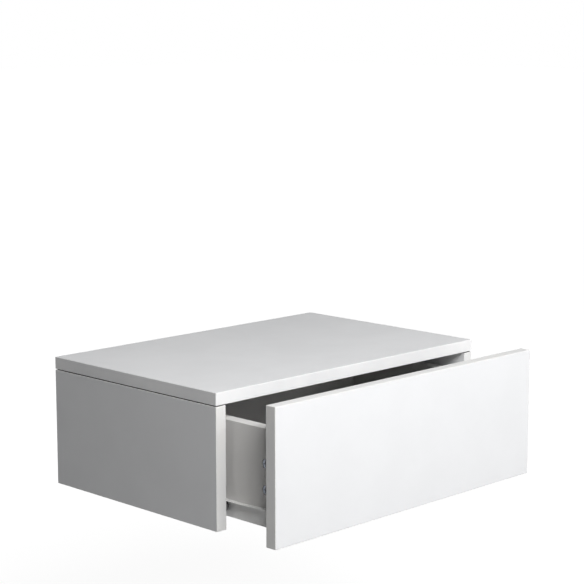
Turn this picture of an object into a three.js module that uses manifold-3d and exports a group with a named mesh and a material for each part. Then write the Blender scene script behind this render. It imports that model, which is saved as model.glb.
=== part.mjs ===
// Floating nightstand with one full-width drawer, hung on a wall rail and drawn partly open.
// Millimetres. X runs along the width, Y runs back to the wall, Z is up.
// The origin is the middle of the wall rail's rear face, so the wall is the plane y = 0.

import * as THREE from "three";
import { mergeVertices } from "three/addons/utils/BufferGeometryUtils.js";
import Module from "manifold-3d";

const wasm = await Module();
wasm.setup();

// Carcass: a top panel on two side panels, with a rear board between them.
const width = 600;
const depth = 390;
const height = 214;
const panelThickness = 20;
const rearBoardThickness = 16;
const rearBoardRaise = 6;
const topAboveRail = 50;
const easedEdge = 0.7;

// Clearances.
const seam = 0.1;
const fastenerGap = 0.2;
const runningGap = 0.3;
const overrun = 2;

// Drawer.
const openAtRest = 106;
const drawerRearGap = 17;
const frontThickness = 19.5;
const frontDrop = 1;
const drawerSideThickness = 20;
const drawerBackThickness = 16;
const drawerLift = 17.5;
const drawerHeadroom = 27;
const bottomThickness = 5;
const grooveRaise = 10;
const grooveDepth = 8;
const frontGrooveDepth = 6;

// Runners: a member on each side panel and one on each drawer side, with a roller on each.
const runnerGap = 12.5;
const runnerSheet = 1.2;
const flangeEdgeGap = 1.6;
const flangeStackGap = 0.4;
const cabinetRunnerRearGap = 15;
const cabinetRunnerSetback = 2;
const drawerRunnerSetback = 2;
const drawerRunnerHeight = 27.8;
const drawerRunnerLeg = 15;
const rampLength = 88;
const rampRise = 3.5;
const rampBendShare = 0.75;
const rollerRadius = 9;
const rollerBore = 2.15;
const rollerEase = 0.8;
const rollerEndGap = 0.4;
const rollerInset = 12;
const axleRadius = 2;
const axleHeadRadius = 3.2;
const axleHeadThickness = 0.6;
const axleHeadClearance = 0.5;

// Wall rail, hook brackets and spacer pads.
const railLength = 440;
const railSheet = 2;
const railLeafHeight = 24;
const railLipHeight = 12;
const railHoleRadius = 2.6;
const railHoleSpacing = 110;
const railHoleCount = 4;
const hookWidth = 60;
const hookSheet = 2;
const hookDrop = 26;
const hookSpacing = 300;
const hookScrewSpacing = 36;
const hookScrewRaise = 8;
const spacerRadius = 12;
const spacerInset = 60;
const spacerRaise = 30;
const spacerPegRadius = 4;
const spacerPegLength = 8;

// Cam joints: a bolt screwed into one board and a cam let into the face of the other.
const camRadius = 7.5;
const camReach = 4.5;
const camRecess = 0.2;
const camSlotDepth = 3;
const camSlotWidth = 1.6;
const boltLength = 34;
const boltThreadRadius = 3.9;
const boltThreadLength = 11;
const boltShankRadius = 3.5;
const boltNeckRadius = 2.2;
const boltHeadRadius = 3.2;
const boltHeadLength = 4;
const topJointInset = 60;
const rearJointDrop = 94;
const dowelRise = 60;
const frontJointRaise = 55.5;
const frontJointSpacing = 40;

// Dowels.
const dowelRadius = 4;
const dowelLength = 30;
const dowelSeat = 10;
const dowelChamfer = 1;

// Countersunk screws. The head's flat face is flush with the face that it is sunk in.
const runnerScrew = { head: 3, sink: 1.3, shank: 1.6, length: 14, tip: 3 };
const hookScrew = { head: 4, sink: 2, shank: 2, length: 14, tip: 3 };
const drawerScrew = { head: 4, sink: 2.4, shank: 2.2, length: 50, tip: 4 };
const runnerScrewInsets = { front: 37, rear: 38 };
const legScrewInsets = { front: 62, rear: 60 };
const drawerScrewDrop = 30;
const drawerScrewRaise = 46;

// Number of flat sides that stand for a round surface.
const rollerSides = 24;
const camSides = 20;
const pinSides = 12;

// Geometries closer than this are one point.
const weld = 1e-4;

const X = new THREE.Vector3(1, 0, 0);
const Y = new THREE.Vector3(0, 1, 0);
const Z = new THREE.Vector3(0, 0, 1);
const point = (x, y, z) => new THREE.Vector3(x, y, z);
const reverse = (direction) => direction.clone().negate();

function finish(color, roughness, metalness) {
  return new THREE.MeshStandardMaterial({ color, roughness, metalness });
}

const whiteBoard = finish(0xf4f4f3, 0.45, 0);
const drawerBoard = finish(0xe9e7e3, 0.5, 0);
const bottomSheet = finish(0x4a4a4a, 0.7, 0);
const runnerPaint = finish(0xe6e4df, 0.4, 0);
const rollerPlastic = finish(0x3f3f41, 0.5, 0);
const zincDieCast = finish(0x8f959c, 0.4, 1);
const zincPlate = finish(0xb9bcc0, 0.35, 1);
const beech = finish(0xc9a878, 0.7, 0);
const spacerPlastic = finish(0x2c2c2e, 0.6, 0);

// Solids

function solidFrom(geometry) {
  const bare = geometry.clone();
  bare.deleteAttribute("normal");
  bare.deleteAttribute("uv");
  const { attributes, index } = mergeVertices(bare, weld);
  return new wasm.Manifold(
    new wasm.Mesh({ numProp: 3, vertProperties: attributes.position.array, triVerts: index.array }),
  );
}

function geometryFrom(solid) {
  const mesh = solid.getMesh();
  const geometry = new THREE.BufferGeometry();
  geometry.setAttribute("position", new THREE.BufferAttribute(mesh.vertProperties, 3));
  geometry.setIndex(new THREE.BufferAttribute(mesh.triVerts, 1));
  return geometry;
}

function block(x, y, z) {
  const geometry = new THREE.BoxGeometry(x[1] - x[0], y[1] - y[0], z[1] - z[0]);
  geometry.translate((x[0] + x[1]) / 2, (y[0] + y[1]) / 2, (z[0] + z[1]) / 2);
  return solidFrom(geometry);
}

// A block with a small bevel along each of its edges, as a banded board has.
function easedBlock(x, y, z) {
  const [halfX, halfY] = [(x[1] - x[0]) / 2, (y[1] - y[0]) / 2];
  const corners = [];
  for (const [sideX, sideY] of [[1, -1], [1, 1], [-1, 1], [-1, -1]]) {
    const along = new THREE.Vector2(sideX * (halfX - easedEdge), sideY * halfY);
    const across = new THREE.Vector2(sideX * halfX, sideY * (halfY - easedEdge));
    corners.push(...(sideX * sideY < 0 ? [along, across] : [across, along]));
  }
  const geometry = new THREE.ExtrudeGeometry(new THREE.Shape(corners), {
    depth: z[1] - z[0] - 2 * easedEdge,
    bevelThickness: easedEdge,
    bevelSize: easedEdge,
    bevelOffset: -easedEdge,
    bevelSegments: 1,
  });
  geometry.translate((x[0] + x[1]) / 2, (y[0] + y[1]) / 2, z[0] + easedEdge);
  return solidFrom(geometry);
}

// A profile of [radius, height] points turned about the Y axis.
function turned(profile, sides) {
  return new THREE.LatheGeometry(profile.map(([r, y]) => new THREE.Vector2(r, y)), sides);
}

// Turns a geometry so that its Y axis points along a direction, then moves its origin to a place.
function placed(geometry, place, direction) {
  geometry.applyQuaternion(new THREE.Quaternion().setFromUnitVectors(Y, direction));
  return geometry.translate(place.x, place.y, place.z);
}

// A round cutter that goes into a board from a point on its face.
function bore(face, direction, radius, deep, sides = pinSides) {
  const profile = [[0, -overrun], [radius, -overrun], [radius, deep], [0, deep]];
  return solidFrom(placed(turned(profile, sides), face, direction));
}

// An outline of [y, z] points extruded across the width, from one x to another.
function acrossWidth(outline, from, to) {
  const geometry = new THREE.ExtrudeGeometry(outline, { depth: to - from, bevelEnabled: false });
  geometry.applyMatrix4(new THREE.Matrix4().makeBasis(Y, Z, X));
  return solidFrom(geometry.translate(from, 0, 0));
}

const outlineOf = (points) => new THREE.Shape(points.map(([y, z]) => new THREE.Vector2(y, z)));
const cut = (solid, cutters) => cutters.reduce((left, cutter) => left.subtract(cutter), solid);
const join = (solids) => solids.reduce((whole, solid) => whole.add(solid));

// Scene graph

function addMesh(parent, name, geometry, material, place) {
  geometry.computeVertexNormals();
  const mesh = new THREE.Mesh(geometry, material);
  mesh.name = name;
  mesh.position.copy(place);
  parent.add(mesh);
  return mesh;
}

// Adds a solid that was made in its parent's frame, with its own origin at its middle.
function addSolid(parent, name, solid, material) {
  const geometry = geometryFrom(solid);
  geometry.computeBoundingBox();
  const middle = geometry.boundingBox.getCenter(point(0, 0, 0));
  geometry.translate(-middle.x, -middle.y, -middle.z);
  return addMesh(parent, name, geometry, material, middle);
}

// Adds a turned piece whose own Y axis points along a direction.
function addTurned(parent, name, geometry, material, place, direction) {
  const mesh = addMesh(parent, name, geometry, material, place);
  mesh.quaternion.setFromUnitVectors(Y, direction);
  return mesh;
}

const nightstand = new THREE.Group();
const carcass = new THREE.Group();
const drawer = new THREE.Group();
drawer.position.y = -(depth + openAtRest);
nightstand.add(carcass, drawer);

// What comes in pairs is built for the right hand, and mirrored for the left.
function addHands(parent) {
  return [["right", 1], ["left", -1]].map(([name, side]) => {
    const group = new THREE.Group();
    group.scale.x = side;
    parent.add(group);
    return { name, group };
  });
}

const carcassHands = addHands(carcass);
const drawerHands = addHands(drawer);
const mirror = point(-1, 1, 1);

// The same places on the left hand too, for the holes of a board that spans both.
function bothHands(items) {
  const mirrored = items.map((item) => {
    const copy = { ...item };
    for (const key of ["face", "run", "camFace", "outward"]) {
      if (item[key]) copy[key] = item[key].clone().multiply(mirror);
    }
    return copy;
  });
  return [...items, ...mirrored];
}

// Fasteners
// Each one is described by the point where it enters a face, and the direction in which it runs on.

function screwGeometry({ head, sink, shank, length, tip }) {
  return turned([[0, 0], [head, 0], [shank, sink], [shank, length - tip], [0, length]], pinSides);
}

function screwBore({ face, run, kind }) {
  const [head, shank] = [kind.head + fastenerGap, kind.shank + fastenerGap];
  const deep = kind.length + fastenerGap;
  const profile = [
    [0, -overrun],
    [head, -overrun],
    [head, 0],
    [shank, kind.sink],
    [shank, deep],
    [0, deep],
  ];
  return solidFrom(placed(turned(profile, pinSides), face, run));
}

function addScrews(parent, hand, screws) {
  for (const { name, face, run, kind } of screws) {
    addTurned(parent, `${hand}_${name}`, screwGeometry(kind), zincPlate, face, run);
  }
}

function boltGeometry() {
  const neckStart = boltLength - camRadius - runningGap;
  const headStart = boltLength - boltHeadLength / 2;
  const end = boltLength + boltHeadLength / 2;
  const profile = [
    [0, -boltThreadLength],
    [boltThreadRadius, -boltThreadLength],
    [boltThreadRadius, 0],
    [boltShankRadius, 0],
    [boltShankRadius, neckStart],
    [boltNeckRadius, neckStart],
    [boltNeckRadius, headStart],
    [boltHeadRadius, headStart],
    [boltHeadRadius, end],
    [0, end],
  ];
  return turned(profile, pinSides);
}

// A cam with its face up along Y. Its slot and pocket take the bolt, which comes in along X.
function camGeometry(boardThickness) {
  const axisDepth = boardThickness / 2;
  const bottom = -axisDepth - camReach;
  const neck = boltNeckRadius + fastenerGap;
  const head = boltHeadRadius + fastenerGap;
  const pocket = boltHeadLength / 2 + fastenerGap;
  const arm = camRadius - camSlotWidth;
  const slotHalf = camSlotWidth / 2;
  const slotFloor = -camRecess - camSlotDepth;
  const profile = [[0, bottom], [camRadius, bottom], [camRadius, -camRecess], [0, -camRecess]];
  return geometryFrom(
    cut(solidFrom(turned(profile, camSides)), [
      block([0, camRadius + overrun], [-axisDepth - neck, -axisDepth + neck], [-neck, neck]),
      block([-pocket, pocket], [-axisDepth - head, -axisDepth + head], [-head, head]),
      block([-arm, arm], [slotFloor, overrun], [-slotHalf, slotHalf]),
      block([-slotHalf, slotHalf], [slotFloor, overrun], [-arm, arm]),
    ]),
  );
}

const threadBore = ({ face, run }) =>
  bore(face, reverse(run), boltThreadRadius + fastenerGap, boltThreadLength + fastenerGap);
const shankBore = ({ face, run }) => bore(face, run, boltShankRadius + fastenerGap, boltLength);
const camBore = ({ camFace, outward, thickness }) => {
  const deep = thickness / 2 + camReach + fastenerGap;
  return bore(camFace, reverse(outward), camRadius + fastenerGap, deep, camSides);
};
const heldBores = (joints) => [...joints.map(shankBore), ...joints.map(camBore)];

function addCamJoints(parent, hand, joints) {
  for (const { name, face, run, camFace, outward, thickness } of joints) {
    addTurned(parent, `${hand}_${name}_cam_bolt`, boltGeometry(), zincPlate, face, run);
    const cam = addMesh(parent, `${hand}_${name}_cam`, camGeometry(thickness), zincDieCast, camFace);
    const slot = reverse(run);
    cam.setRotationFromMatrix(new THREE.Matrix4().makeBasis(slot, outward, slot.clone().cross(outward)));
  }
}

function dowelGeometry() {
  const rim = dowelRadius - dowelChamfer;
  const profile = [
    [0, 0],
    [rim, 0],
    [dowelRadius, dowelChamfer],
    [dowelRadius, dowelLength - dowelChamfer],
    [rim, dowelLength],
    [0, dowelLength],
  ];
  return turned(profile, pinSides);
}

// Levels and faces that the pieces share

const topSurface = topAboveRail;
const topUnderside = topSurface - panelThickness;
const carcassBottom = topSurface - height;
const panelInner = width / 2 - panelThickness;
const panelMiddle = width / 2 - panelThickness / 2;
const bracketRear = runningGap + hookSheet + runningGap + railSheet + runningGap;
const wallGap = bracketRear + hookSheet + seam;
const rearBoardFront = -(wallGap + rearBoardThickness);
const rearBoardMiddle = -(wallGap + rearBoardThickness / 2);
const rearBoardBottom = carcassBottom + rearBoardRaise;

const drawerOuter = panelInner - runnerGap;
const drawerInner = drawerOuter - drawerSideThickness;
const drawerSideBottom = carcassBottom + drawerLift;
const drawerSideTop = topUnderside - drawerHeadroom;
const drawerLength = depth + rearBoardFront - drawerRearGap;
const grooveBottom = drawerSideBottom + grooveRaise;
const grooveTop = grooveBottom + bottomThickness + fastenerGap;
const drawerBackFront = drawerLength - drawerBackThickness;

const drawerWeb = drawerOuter + seam + runnerSheet;
const cabinetWeb = panelInner - seam - runnerSheet;
const drawerFlange = cabinetWeb - flangeEdgeGap;
const cabinetFlange = drawerWeb + flangeEdgeGap;
const axleHead = fastenerGap + axleHeadThickness + axleHeadClearance;
const rollerWidth = cabinetWeb - drawerWeb - rollerEndGap - axleHead;
const drawerLegBottom = drawerSideBottom - seam - runnerSheet;
const drawerFlangeTop = drawerLegBottom + drawerRunnerHeight;
const drawerFlangeUnder = drawerFlangeTop - runnerSheet;
const cabinetRunnerTop = drawerFlangeUnder - flangeStackGap;
const rearRollerZ = cabinetRunnerTop - runnerSheet - runningGap - rollerRadius;
const cabinetRunnerBottom = rearRollerZ - rollerRadius - runningGap - runnerSheet;
const frontRollerZ = drawerFlangeUnder - runningGap - rollerRadius;
const cabinetRunnerFront = -depth + cabinetRunnerSetback;
const frontRollerY = cabinetRunnerFront + rollerInset;
const cabinetRunnerRear = rearBoardFront - cabinetRunnerRearGap;
const drawerRunnerRear = drawerLength - drawerRunnerSetback;
const rearRollerY = drawerRunnerRear - rollerInset;

// Cam joints between the top panel and the side panels

const topJoints = [
  ["front_top", -depth + topJointInset],
  ["rear_top", -topJointInset],
].map(([name, y]) => ({
  name,
  face: point(panelMiddle, y, topUnderside),
  run: reverse(Z),
  camFace: point(panelInner, y, topUnderside - boltLength),
  outward: reverse(X),
  thickness: panelThickness,
}));

// Cam joint and dowel between the rear board and the side panels

const rearJointZ = topUnderside - rearJointDrop;
const rearJoints = [
  {
    name: "rear_board",
    face: point(panelInner, rearBoardMiddle, rearJointZ),
    run: reverse(X),
    camFace: point(panelInner - boltLength, rearBoardFront, rearJointZ),
    outward: reverse(Y),
    thickness: rearBoardThickness,
  },
];
const dowels = [
  {
    name: "rear_board_dowel",
    face: point(panelInner, rearBoardMiddle, rearJointZ + dowelRise),
    run: reverse(X),
  },
];
const dowelSeatBore = ({ face, run }) =>
  bore(face, reverse(run), dowelRadius + fastenerGap, dowelSeat + fastenerGap);
const dowelBore = ({ face, run }) =>
  bore(face, run, dowelRadius + fastenerGap, dowelLength - dowelSeat + fastenerGap);

// Cabinet runners: a channel that opens towards the drawer. The rear roller runs inside it,
// and its upper flange stops short of the front roller that the drawer rolls on.

const runnerScrews = [
  cabinetRunnerFront + runnerScrewInsets.front,
  cabinetRunnerRear - runnerScrewInsets.rear,
].map((y, i) => ({
  name: `cabinet_runner_screw_${i + 1}`,
  face: point(cabinetWeb, y, rearRollerZ),
  run: X,
  kind: runnerScrew,
}));

// A riveted axle with its head, standing out of a web along a direction.
function axle(web, direction, y, z) {
  const reach = rollerEndGap + rollerWidth + fastenerGap;
  const end = reach + axleHeadThickness;
  const profile = [
    [0, -runnerSheet / 2],
    [axleRadius, -runnerSheet / 2],
    [axleRadius, reach],
    [axleHeadRadius, reach],
    [axleHeadRadius, end],
    [0, end],
  ];
  return solidFrom(placed(turned(profile, pinSides), point(web, y, z), direction));
}

function rollerGeometry() {
  const rim = rollerRadius - rollerEase;
  const profile = [
    [rollerBore, 0],
    [rim, 0],
    [rollerRadius, rollerEase],
    [rollerRadius, rollerWidth - rollerEase],
    [rim, rollerWidth],
    [rollerBore, rollerWidth],
    [rollerBore, 0],
  ];
  return turned(profile, rollerSides);
}

function cabinetRunner() {
  const rear = cabinetRunnerRear;
  const along = [cabinetRunnerFront, rear];
  const wide = [cabinetFlange, cabinetWeb + runnerSheet];
  const notchEnd = frontRollerY + rollerRadius + fastenerGap + runnerSheet;
  const web = [cabinetWeb, cabinetWeb + runnerSheet];
  const inner = cabinetRunnerBottom + runnerSheet;
  const channel = join([
    block(web, along, [cabinetRunnerBottom, cabinetRunnerTop]),
    block(wide, along, [cabinetRunnerBottom, inner]),
    block(wide, [notchEnd, rear], [cabinetRunnerTop - runnerSheet, cabinetRunnerTop]),
    block(wide, [rear - runnerSheet, rear], [cabinetRunnerBottom, cabinetRunnerTop]),
    axle(cabinetWeb, reverse(X), frontRollerY, frontRollerZ),
  ]);
  return cut(channel, runnerScrews.map(screwBore));
}

for (const { name, group } of carcassHands) {
  addSolid(group, `${name}_cabinet_runner`, cabinetRunner(), runnerPaint);
  addScrews(group, name, runnerScrews);
  const place = point(cabinetWeb - rollerEndGap, frontRollerY, frontRollerZ);
  addTurned(group, `${name}_front_roller`, rollerGeometry(), rollerPlastic, place, reverse(X));
}

// Side panels

function sidePanel() {
  const panel = easedBlock([panelInner, width / 2], [-depth, 0], [carcassBottom, topUnderside - seam]);
  return cut(panel, [
    ...heldBores(topJoints),
    ...rearJoints.map(threadBore),
    ...dowels.map(dowelSeatBore),
    ...runnerScrews.map(screwBore),
  ]);
}

for (const { name, group } of carcassHands) {
  addSolid(group, `${name}_side_panel`, sidePanel(), whiteBoard);
  addCamJoints(group, name, [...topJoints, ...rearJoints]);
  for (const { name: piece, face, run } of dowels) {
    const seat = face.clone().addScaledVector(run, -dowelSeat);
    addTurned(group, `${name}_${piece}`, dowelGeometry(), beech, seat, run);
  }
}

// Top panel

const topPanel = easedBlock([-width / 2, width / 2], [-depth, 0], [topUnderside, topSurface]);
addSolid(carcass, "top_panel", cut(topPanel, bothHands(topJoints).map(threadBore)), whiteBoard);

// Wall rail: a leaf against the wall, and above it a lip that stands off the wall.

const railLeafTop = railLeafHeight / 2;
const railLipRear = -(runningGap + hookSheet + runningGap);
const railLipFront = railLipRear - railSheet;
const railLipTop = railLeafTop + railLipHeight;
const railOutline = outlineOf([
  [0, -railLeafTop],
  [0, railLeafTop],
  [railLipRear, railLeafTop],
  [railLipRear, railLipTop],
  [railLipFront, railLipTop],
  [railLipFront, railLeafTop - railSheet],
  [-railSheet, railLeafTop - railSheet],
  [-railSheet, -railLeafTop],
]);
const railBores = Array.from({ length: railHoleCount }, (_, i) => {
  const x = (i - (railHoleCount - 1) / 2) * railHoleSpacing;
  return bore(point(x, -railSheet, 0), Y, railHoleRadius, railSheet + overrun);
});
const rail = acrossWidth(railOutline, -railLength / 2, railLength / 2);
addSolid(carcass, "wall_rail", cut(rail, railBores), zincPlate);

// Hook brackets: each hangs behind the rail's lip by a folded tongue.

const hookTop = railLipTop + runningGap + hookSheet;
const hookTongueBottom = railLeafTop + railSheet;
const hookRear = -runningGap;
const hookTongueFront = hookRear - hookSheet;
const hookLeafRear = -bracketRear;
const hookLeafFront = hookLeafRear - hookSheet;
const hookOutline = outlineOf([
  [hookRear, hookTongueBottom],
  [hookRear, hookTop],
  [hookLeafFront, hookTop],
  [hookLeafFront, -hookDrop],
  [hookLeafRear, -hookDrop],
  [hookLeafRear, hookTop - hookSheet],
  [hookTongueFront, hookTop - hookSheet],
  [hookTongueFront, hookTongueBottom],
]);
const hookScrews = [-1, 1].map((side, i) => ({
  name: `hook_bracket_screw_${i + 1}`,
  face: point((hookSpacing + side * hookScrewSpacing) / 2, hookLeafRear, hookScrewRaise - hookDrop),
  run: reverse(Y),
  kind: hookScrew,
}));

for (const { name, group } of carcassHands) {
  const hook = acrossWidth(hookOutline, (hookSpacing - hookWidth) / 2, (hookSpacing + hookWidth) / 2);
  addSolid(group, `${name}_hook_bracket`, cut(hook, hookScrews.map(screwBore)), zincPlate);
  addScrews(group, name, hookScrews);
}

// Spacer pads: a disc against the wall, on a peg pressed into the rear board.

const spacers = [
  { face: point(panelInner - spacerInset, -wallGap, rearBoardBottom + spacerRaise), run: reverse(Y) },
];
const spacerBore = ({ face, run }) =>
  bore(face, run, spacerPegRadius + fastenerGap, spacerPegLength + fastenerGap);

function spacerGeometry() {
  const profile = [
    [0, -wallGap],
    [spacerRadius, -wallGap],
    [spacerRadius, -seam],
    [spacerPegRadius, -seam],
    [spacerPegRadius, spacerPegLength],
    [0, spacerPegLength],
  ];
  return turned(profile, pinSides);
}

for (const { name, group } of carcassHands) {
  for (const { face, run } of spacers) {
    addTurned(group, `${name}_wall_spacer`, spacerGeometry(), spacerPlastic, face, run);
  }
}

// Rear board

const rearBoardHalf = panelInner - seam;
const rearBoard = block(
  [-rearBoardHalf, rearBoardHalf],
  [rearBoardFront, -wallGap],
  [rearBoardBottom, topUnderside - seam],
);
const rearBoardBores = [
  ...heldBores(bothHands(rearJoints)),
  ...bothHands(dowels).map(dowelBore),
  ...bothHands(hookScrews).map(screwBore),
  ...bothHands(spacers).map(spacerBore),
];
addSolid(carcass, "rear_board", cut(rearBoard, rearBoardBores), whiteBoard);

// Drawer. In its own frame y = 0 is the rear face of the front.

const frontJoints = ["lower", "upper"].map((name, i) => {
  const z = drawerSideBottom + frontJointRaise + i * frontJointSpacing;
  return {
    name: `${name}_front`,
    face: point(drawerOuter - drawerSideThickness / 2, 0, z),
    run: Y,
    camFace: point(drawerOuter, boltLength, z),
    outward: X,
    thickness: drawerSideThickness,
  };
});
const backScrews = [
  ["lower", drawerSideBottom + drawerScrewRaise],
  ["upper", drawerSideTop - drawerScrewDrop],
].map(([name, z]) => ({
  name: `${name}_drawer_back_screw`,
  face: point(drawerOuter, drawerLength - drawerBackThickness / 2, z),
  run: reverse(X),
  kind: drawerScrew,
}));
const legScrews = [legScrewInsets.front, drawerLength - legScrewInsets.rear].map((y, i) => ({
  name: `drawer_runner_screw_${i + 1}`,
  face: point(drawerOuter - drawerRunnerLeg / 2, y, drawerLegBottom),
  run: Z,
  kind: runnerScrew,
}));

// Drawer runners: a leg under the drawer side, a web up its outer face and a flange outwards.
// The flange climbs towards the front, so that the drawer sinks shut over the last stretch.

// The runner's side view from one level to another. Its top climbs the ramp,
// and so does the underside of the flange.
function sideOutline(bottom, top, isFlange) {
  const rampStart = drawerRunnerSetback + rampLength;
  const bend = drawerRunnerSetback + rampLength * rampBendShare;
  const shape = new THREE.Shape();
  shape.moveTo(drawerRunnerRear, bottom);
  shape.lineTo(drawerRunnerRear, top);
  shape.lineTo(rampStart, top);
  shape.quadraticCurveTo(bend, top, drawerRunnerSetback, top + rampRise);
  if (isFlange) {
    shape.lineTo(drawerRunnerSetback, bottom + rampRise);
    shape.quadraticCurveTo(bend, bottom, rampStart, bottom);
  } else {
    shape.lineTo(drawerRunnerSetback, bottom);
  }
  return shape;
}

function drawerRunner() {
  const along = [drawerRunnerSetback, drawerRunnerRear];
  const webInner = drawerOuter + seam;
  const legInner = drawerOuter - drawerRunnerLeg;
  const runner = join([
    acrossWidth(sideOutline(drawerFlangeUnder, drawerFlangeTop, true), webInner, drawerFlange),
    acrossWidth(sideOutline(drawerLegBottom, drawerFlangeTop, false), webInner, drawerWeb),
    block([legInner, drawerWeb], along, [drawerLegBottom, drawerLegBottom + runnerSheet]),
    axle(drawerWeb, X, rearRollerY, rearRollerZ),
  ]);
  return cut(runner, legScrews.map(screwBore));
}

for (const { name, group } of drawerHands) {
  addSolid(group, `${name}_drawer_runner`, drawerRunner(), runnerPaint);
  addScrews(group, name, legScrews);
  const place = point(drawerWeb + rollerEndGap, rearRollerY, rearRollerZ);
  addTurned(group, `${name}_rear_roller`, rollerGeometry(), rollerPlastic, place, X);
}

// Drawer sides

function drawerSide() {
  const side = easedBlock(
    [drawerInner, drawerOuter],
    [seam, drawerLength],
    [drawerSideBottom, drawerSideTop],
  );
  const groove = block(
    [drawerInner - overrun, drawerInner + grooveDepth],
    [seam - overrun, drawerLength + overrun],
    [grooveBottom, grooveTop],
  );
  return cut(side, [
    groove,
    ...heldBores(frontJoints),
    ...backScrews.map(screwBore),
    ...legScrews.map(screwBore),
  ]);
}

for (const { name, group } of drawerHands) {
  addSolid(group, `${name}_drawer_side`, drawerSide(), drawerBoard);
  addCamJoints(group, name, frontJoints);
  addScrews(group, name, backScrews);
}

// Drawer back, on top of the bottom sheet

const backHalf = drawerInner - seam;
const drawerBack = easedBlock(
  [-backHalf, backHalf],
  [drawerBackFront, drawerLength],
  [grooveTop, drawerSideTop],
);
addSolid(drawer, "drawer_back", cut(drawerBack, bothHands(backScrews).map(screwBore)), drawerBoard);

// Drawer bottom, in the grooves of the sides and the front

const bottomHalf = drawerInner + grooveDepth - fastenerGap;
const drawerBottom = block(
  [-bottomHalf, bottomHalf],
  [fastenerGap - frontGrooveDepth, drawerLength],
  [grooveBottom + seam, grooveBottom + bottomThickness],
);
addSolid(drawer, "drawer_bottom", drawerBottom, bottomSheet);

// Drawer front

const front = easedBlock(
  [-width / 2, width / 2],
  [-frontThickness, 0],
  [carcassBottom, topSurface - frontDrop],
);
const frontGrooveHalf = bottomHalf + fastenerGap;
const frontGroove = block(
  [-frontGrooveHalf, frontGrooveHalf],
  [-frontGrooveDepth, overrun],
  [grooveBottom, grooveTop],
);
const frontBores = bothHands(frontJoints).map(threadBore);
addSolid(drawer, "drawer_front", cut(front, [frontGroove, ...frontBores]), whiteBoard);

export default nightstand;
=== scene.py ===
# A wall-hung nightstand with one full-width drawer, drawn partly open.
# Metres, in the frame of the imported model: X along the width, Y back to the wall at y = 0, Z up.

import math

import bmesh
import bpy
from mathutils import Matrix, Vector


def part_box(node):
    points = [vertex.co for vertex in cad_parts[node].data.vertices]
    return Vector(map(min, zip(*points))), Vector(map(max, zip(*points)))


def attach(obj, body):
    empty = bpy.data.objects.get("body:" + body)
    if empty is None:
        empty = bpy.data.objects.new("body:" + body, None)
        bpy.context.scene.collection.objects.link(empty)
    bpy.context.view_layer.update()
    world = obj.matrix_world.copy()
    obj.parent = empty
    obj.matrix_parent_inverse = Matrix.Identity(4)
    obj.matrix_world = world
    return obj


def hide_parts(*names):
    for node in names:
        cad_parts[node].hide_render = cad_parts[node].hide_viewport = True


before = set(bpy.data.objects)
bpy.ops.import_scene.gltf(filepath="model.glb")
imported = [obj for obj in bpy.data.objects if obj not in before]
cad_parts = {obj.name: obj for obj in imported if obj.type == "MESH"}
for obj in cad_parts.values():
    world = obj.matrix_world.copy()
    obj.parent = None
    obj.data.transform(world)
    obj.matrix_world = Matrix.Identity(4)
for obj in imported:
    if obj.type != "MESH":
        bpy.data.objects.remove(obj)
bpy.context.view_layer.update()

# Side panels
# 20 mm particle board with a white melamine face, and 0.8 mm edge bands on all edges but the upper.
# The inner face is drilled for cam fittings and runner screws. The upper edge, drilled for cam bolts,
# lies a little low and is coloured near-black as painted shade, so that a fine dark line shows under the
# top panel.


def add_node(tree, kind, inputs=None, **settings):
    node = tree.nodes.new(kind)
    for key, value in settings.items():
        setattr(node, key, value)
    for key, value in (inputs or {}).items():
        if isinstance(value, bpy.types.NodeSocket):
            tree.links.new(value, node.inputs[key])
        else:
            node.inputs[key].default_value = value
    return node


def new_group(name, inputs, outputs):
    tree = bpy.data.node_groups.new(name, "ShaderNodeTree")
    for socket, (kind, value) in inputs.items():
        made = tree.interface.new_socket(socket, in_out="INPUT", socket_type="NodeSocket" + kind)
        made.default_value = value
    for socket, kind in outputs.items():
        tree.interface.new_socket(socket, in_out="OUTPUT", socket_type="NodeSocket" + kind)
    given = tree.nodes.new("NodeGroupInput").outputs
    result = tree.nodes.new("NodeGroupOutput").inputs
    return tree, given, result


def arithmetic(tree, operation, a, b=0.0):
    return add_node(tree, "ShaderNodeMath", {0: a, 1: b}, operation=operation).outputs[0]


def vector_step(tree, operation, a, b=(0, 0, 0)):
    return add_node(tree, "ShaderNodeVectorMath", {0: a, 1: b}, operation=operation).outputs[0]


def ramp(tree, value, start, end, low=0.0, high=1.0):
    given = {"Value": value, "From Min": start, "From Max": end, "To Min": low, "To Max": high}
    return add_node(tree, "ShaderNodeMapRange", given, interpolation_type="SMOOTHSTEP").outputs[0]


def blend_colours(tree, share, a, b):
    """The Mix node takes its two colours at inputs 6 and 7, and gives the blend at output 2."""
    a, b = (c if isinstance(c, bpy.types.NodeSocket) else (*c, 1) for c in (a, b))
    return add_node(tree, "ShaderNodeMix", {0: share, 6: a, 7: b}, data_type="RGBA").outputs[2]


def object_place(tree):
    return tree.nodes.new("ShaderNodeTexCoord").outputs["Object"]


def noise(tree, place, scale, detail=2.0, roughness=0.5):
    given = {"Vector": place, "Scale": scale, "Detail": detail, "Roughness": roughness}
    return add_node(tree, "ShaderNodeTexNoise", given).outputs["Fac"]


def new_material(name, colour, roughness, metallic=0.0):
    material = bpy.data.materials.new(name)
    material.use_nodes = True
    shader = material.node_tree.nodes["Principled BSDF"]
    shader.inputs["Base Color"].default_value = (*colour, 1)
    shader.inputs["Roughness"].default_value = roughness
    shader.inputs["Metallic"].default_value = metallic
    return material, material.node_tree, shader


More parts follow.
